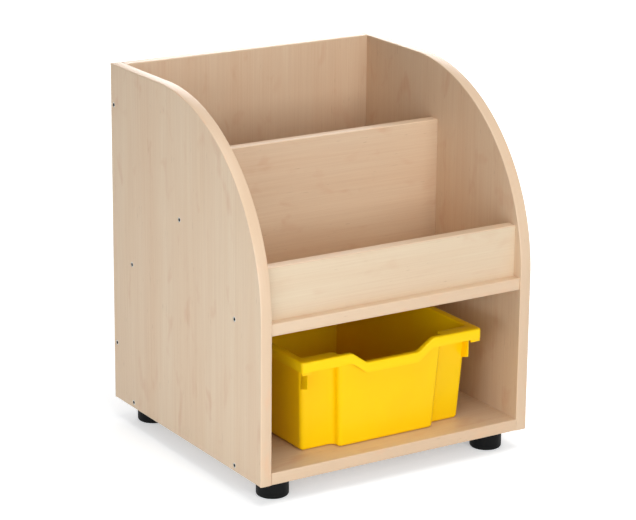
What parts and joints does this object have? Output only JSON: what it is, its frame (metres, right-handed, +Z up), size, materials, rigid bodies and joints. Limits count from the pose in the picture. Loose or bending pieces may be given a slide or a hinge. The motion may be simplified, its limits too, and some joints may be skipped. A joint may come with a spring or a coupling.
{
  "type": "picture book browser bin",
  "caption": "Low cabinet with round-nosed sides, two open tiers that hold picture books face forward, and a pull-out storage tray below, on short feet.",
  "frame": {"origin": "on the floor, under the middle of the cabinet's width and depth", "axes": "+Z up, the open front with the tray faces -Y, +X to the right of someone who faces the back"},
  "size_m": [0.464, 0.44, 0.56],
  "materials": {
    "maple_board": "satin melamine in a pale maple decor",
    "maple_edge_band": "satin, in a maple decor",
    "yellow_tray_plastic": "semi-gloss moulded",
    "black_foot_plastic": "satin moulded",
    "zinc_plated_steel": "bright zinc plate",
    "beech_dowel": "raw fluted beech"
  },
  "bodies": {
    "cabinet": {"left_side_panel": "maple_board", "right_side_panel": "maple_board", "back_panel": "maple_board", "bottom_shelf": "maple_board", "middle_shelf": "maple_board", "front_rail": "maple_board", "divider_panel": "maple_board", "left_side_front_edge_band": "maple_edge_band", "left_side_back_edge_band": "maple_edge_band", "left_side_bottom_edge_band": "maple_edge_band", "right_side_front_edge_band": "maple_edge_band", "right_side_back_edge_band": "maple_edge_band", "right_side_bottom_edge_band": "maple_edge_band", "back_panel_edge_band": "maple_edge_band", "bottom_shelf_edge_band": "maple_edge_band", "middle_shelf_edge_band": "maple_edge_band", "front_rail_edge_band": "maple_edge_band", "divider_edge_band": "maple_edge_band", "front_left_foot": "black_foot_plastic", "front_right_foot": "black_foot_plastic", "back_left_foot": "black_foot_plastic", "back_right_foot": "black_foot_plastic", "left_side_screws": "zinc_plated_steel", "right_side_screws": "zinc_plated_steel", "rail_screws": "zinc_plated_steel", "divider_screws": "zinc_plated_steel", "foot_screws": "zinc_plated_steel", "left_side_dowels": "beech_dowel", "right_side_dowels": "beech_dowel", "shelf_back_dowels": "beech_dowel", "foot_inserts": "zinc_plated_steel"},
    "tray": {"tray": "yellow_tray_plastic"}
  },
  "joints": [
    {"name": "tray_slide", "type": "slide", "parent": "cabinet", "child": "tray", "axis": [0, -1, 0], "range_m": [0, 0.41]}
  ]
}
